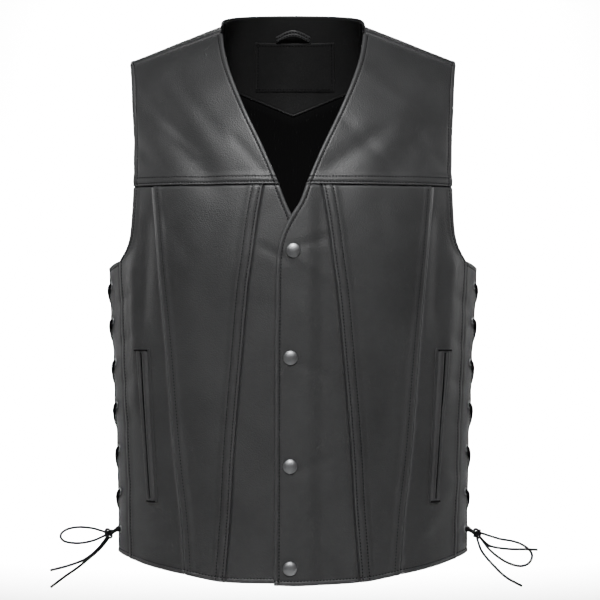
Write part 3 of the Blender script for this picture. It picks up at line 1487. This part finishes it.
class VEST_OT_inside(bpy.types.Operator):
    """Makes the neck facing with its piping, the lining, the blank patch and the hanger loop"""
    bl_idname = "vest.inside"
    bl_label = "Inside of the neck"

    def execute(self, context):
        sizes = context.scene.vest_sizes
        lining_object(material("lining_cloth"))
        facing = facing_panel()
        panel_object("neck_facing", self.turned_in(facing), material("facing_leather"))
        self.piping()
        patch = self.patch_panel()
        panel_object("label_patch", patch, material("facing_leather"))
        hanger = self.hanger_panel()
        panel_object("hanger_loop", hanger, material("welt_leather"))
        rows = [patch.row(edge, PATCH_ROW) for edge in EDGES]
        rows += [hanger.row(edge, HANGER_ROW) for edge in ("top", "foot")]
        stitch_object("inside_stitch", rows, material("thread"), sizes)
        return {"FINISHED"}

    def turned_in(self, panel):
        """The same panel seen from the hollow: its shown face is the inner one."""
        place, thickness = panel.place, panel.thickness
        panel.place = lambda u, v, out: place(u, v, -thickness - out)
        return panel

    def piping(self):
        u = np.linspace(-FACING_U, FACING_U, 120)
        path = back_place(u, foot_w(u), np.full(u.shape, -INSIDE_BACK - FACING - 0.3), fine=False)
        made = tube_object("facing_piping", path, PIPING_RADIUS, (0, 1, 0), material("facing_leather"))
        finish_piece(made)

    def patch_panel(self):
        def place(u, v, out):
            column, w = back_at(lerp(PATCH["left"], PATCH["right"], u), lerp(PATCH["top"], PATCH["foot"], v))
            return back_place(column, w, -INSIDE_BACK - FACING - GAP - PATCH_THICKNESS - out, fine=False)

        return Panel(place, all_round("seamed"), spacing=4.0, thickness=PATCH_THICKNESS)

    def hanger_panel(self):
        def place(u, v, out):
            arch = np.sin(u * np.pi)
            z = HANGER_FOOT_Z + HANGER_RISE * arch - v * HANGER_DROP
            column, w = back_at(lerp(-HANGER_HALF, HANGER_HALF, u), z)
            depth = INSIDE_BACK + FACING + HANGER_SEAT + HANGER_THICKNESS + HANGER_BOW * arch
            return back_place(column, w, -depth - out, fine=False)

        return Panel(place, all_round("seamed"), spacing=1.6, thickness=HANGER_THICKNESS)


class VEST_OT_pockets(bpy.types.Operator):
    """Lays the pocket welts on the side panels"""
    bl_idname = "vest.pockets"
    bl_label = "Pockets"

    def execute(self, context):
        for name, side in SIDES:
            self.welt(name, side)
            self.shadow(name, side)
            self.tacks(name, side)
        return {"FINISHED"}

    def shadow(self, name, side):
        """Dark cloth of the pocket behind the slit: a thin closed strip between two edges of the slit."""
        heights = np.linspace(POCKET_TOP - 4, POCKET_FOOT + 4, 90)
        z, across = np.meshgrid(heights, (-BAG_HALF, BAG_HALF), indexing="ij")
        angle = side * angle_of_x(slit_x(z) + across, z)
        faces = [front_place(angle, z, np.full(z.shape, out)) for out in BAG_FACES]
        made = mesh_object(f"pocket_bag_{name}", *shell_mesh(*faces), material("lining_cloth"))
        finish_piece(made)

    def tacks(self, name, side):
        """Satin bars across both ends of the pocket."""
        for place, z in (("top", POCKET_TOP - TACK_INSET), ("foot", POCKET_FOOT + TACK_INSET)):
            x = np.linspace(float(welt_inner_x(z)) + 3.5, float(welt_outer_x(z)) - 1.0, 15)
            height = np.full(x.shape, float(z))
            out = 1.2 + 1.3 * np.sin(np.linspace(0, np.pi, 15))
            path = front_place(side * angle_of_x(x, height), height, out)
            node = f"pocket_tack_{place}_{name}"
            bar = tube_object(node, path, TACK_RADIUS, (0, 0, 1), material("thread"), sides=10)
            finish_piece(bar)

    def welt(self, name, side):
        """A ring of leather round the slit: its section is a rolled lip at the slit and a thin turned edge
        outside, carried round a long rounded outline."""
        turn = full_turn(240)
        height, across = power(np.cos(turn), WELT_CORNER), power(np.sin(turn), WELT_CORNER)
        half = (POCKET_TOP - POCKET_FOOT) / 2
        rings = []
        for reach, out in WELT_SECTION:
            z = POCKET_FOOT + half + height * lerp(half - POCKET_END, half, reach)
            edge_x = lerp(slit_x(z), np.where(across > 0, welt_outer_x(z), welt_inner_x(z)), np.abs(across))
            x = lerp(slit_x(z) + across * SLIT / 2, edge_x, reach)
            rings.append(front_place(side * angle_of_x(x, z), z, np.full(z.shape, out)))
        outer = np.stack(rings)
        rows, columns = outer.shape[:2]
        index = np.arange(rows * columns).reshape(rows, columns)
        below, beside = np.roll(index, -1, axis=0), np.roll(index, -1, axis=1)
        corner = np.roll(below, -1, axis=1)
        faces = np.stack([index, beside, corner, below], axis=-1).reshape(-1, 4)
        vertices = outer.reshape(-1, 3)
        node = f"pocket_welt_{name}"
        made = mesh_object(node, vertices, outward(vertices, faces), material("welt_leather"))
        finish_piece(made, node)


class VEST_OT_snaps(bpy.types.Operator):
    """Sets the four domed snap caps on the overlap"""
    bl_idname = "vest.snaps"
    bl_label = "Snaps"

    def execute(self, context):
        vertices, faces = lathe_mesh(SNAP_PROFILE, context.scene.vest_sizes.snap_segments)
        for index, (z, x) in enumerate(SNAPS):
            height = np.array(float(z))
            angle = angle_of_x(np.array(float(x)), height)
            base, above = (front_place(angle, height, np.array(OVERLAP_LIFT + GAP + out)) for out in (0, 1))
            node = f"snap_{index + 1}"
            cap = mesh_object(node, stood_on(vertices, base, above - base), faces, material("snap_steel"))
            weld(cap)
            finish_piece(cap, node)
        return {"FINISHED"}


# Lamps of the stage: name, setting of its power, place, target, size in metres, spread in degrees
LAMPS = (
    ("key", "key_power", (-0.12, -1.9, 1.2), (0, 0, 0.05), 0.8, 70),
    ("front", "front_power", (-0.7, -2.3, 0.5), (0, 0, 0.0), 1.2, 180),
    ("side_left", "fill_power", (-1.6, 0.35, 0.0), (0, 0, -0.35), 0.7, 180),
    ("side_right", "fill_power", (1.6, 0.35, 0.0), (0, 0, -0.35), 0.7, 180),
    ("top", "top_power", (0, -0.2, 1.7), (0, 0, -0.2), 1.0, 180),
    ("backdrop", "backdrop_power", (0, 1.2, 2.4), (0, 2.75, -0.5), 1.0, 60),
)

# Stage in millimetres: the sweep's floor, wall, bend and reach, and the dark cards' edges, foot and top
FLOOR_Z, WALL_Y, BEND, REACH = -800.0, 3000.0, 900.0, 6000.0
CARD_NEAR, CARD_FAR, CARD_FOOT, CARD_TOP = (480.0, 450.0), (760.0, 2300.0), -780, 900


class VEST_OT_stage(bpy.types.Operator):
    """Makes the pale floor with its curved backdrop, and the lights"""
    bl_idname = "vest.stage"
    bl_label = "Stage"

    def execute(self, context):
        light = context.scene.vest_light
        self.sweep()
        self.card("card_left", -1)
        self.card("card_right", 1)
        world = bpy.data.worlds.new("soft_room")
        world.use_nodes = True
        backing = world.node_tree.nodes["Background"]
        backing.inputs["Color"].default_value = (1, 1, 1, 1)
        backing.inputs["Strength"].default_value = light.ambient
        context.scene.world = world
        for name, setting, place, target, size, spread in LAMPS:
            self.area(name, getattr(light, setting), np.array(place), np.array(target), size, spread)
        return {"FINISHED"}

    def sweep(self):
        """Floor that curves up into a wall: a flat, a quarter circle and a flat, carried across."""
        turn = np.linspace(0, np.pi / 2, 24)
        y = np.concatenate([[-REACH], WALL_Y - BEND + BEND * np.sin(turn), [WALL_Y]])
        z = np.concatenate([[FLOOR_Z], FLOOR_Z + BEND - BEND * np.cos(turn), [REACH]])
        x = np.array((-REACH, REACH))
        grid = np.stack(np.broadcast_arrays(x[None, :], y[:, None], z[:, None]), axis=-1)
        index = np.arange(2 * len(y)).reshape(len(y), 2)
        faces = np.stack([index[:-1, 0], index[:-1, 1], index[1:, 1], index[1:, 0]], axis=-1)
        return mesh_object("backdrop_sweep", grid, faces, plain_material("backdrop_white", 0.86))

    def card(self, name, side):
        """Upright dark card just outside the picture, behind the vest, that keeps its outline dark."""
        around = ((CARD_NEAR, CARD_FOOT), (CARD_FAR, CARD_FOOT), (CARD_FAR, CARD_TOP), (CARD_NEAR, CARD_TOP))
        corners = [(side * x, y, z) for (x, y), z in around]
        made = mesh_object(name, corners, [[0, 1, 2, 3]], plain_material(f"{name}_black", 0.02))
        made.visible_camera = False
        made.visible_shadow = False
        return made

    def area(self, name, power_watts, place, target, size, spread):
        lamp = bpy.data.lights.new(name, "AREA")
        lamp.spread = math.radians(spread)
        lamp.shape = "DISK"
        lamp.size = size
        lamp.energy = power_watts
        made = bpy.data.objects.new(name, lamp)
        bpy.context.scene.collection.objects.link(made)
        made.location = place
        direction = target - place
        flat = math.hypot(direction[0], direction[1])
        made.rotation_euler = (math.atan2(flat, -direction[2]), 0, math.atan2(-direction[0], direction[1]))


OPERATORS = (
    VEST_OT_camera, VEST_OT_bows, VEST_OT_laces, VEST_OT_eyelets, VEST_OT_front, VEST_OT_back, VEST_OT_inside,
    VEST_OT_pockets, VEST_OT_snaps, VEST_OT_stage,
)


class VEST_PT_panel(bpy.types.Panel):
    bl_idname = "VEST_PT_panel"
    bl_label = "Leather Vest"
    bl_space_type = "VIEW_3D"
    bl_region_type = "UI"
    bl_category = "Vest"

    def draw(self, context):
        for settings in (context.scene.vest_sizes, context.scene.vest_light):
            for name in settings.__annotations__:
                self.layout.prop(settings, name)
        for operator in OPERATORS:
            self.layout.operator(operator.bl_idname)


CLASSES = (VestSizes, VestLight, *OPERATORS, VEST_PT_panel)


def register():
    for cls in CLASSES:
        bpy.utils.register_class(cls)
    bpy.types.Scene.vest_sizes = PointerProperty(type=VestSizes)
    bpy.types.Scene.vest_light = PointerProperty(type=VestLight)


def unregister():
    del bpy.types.Scene.vest_light
    del bpy.types.Scene.vest_sizes
    for cls in reversed(CLASSES):
        bpy.utils.unregister_class(cls)


def main():
    register()
    for operator in OPERATORS:
        group, name = operator.bl_idname.split(".")
        getattr(getattr(bpy.ops, group), name)()


if __name__ == "__main__":
    main()
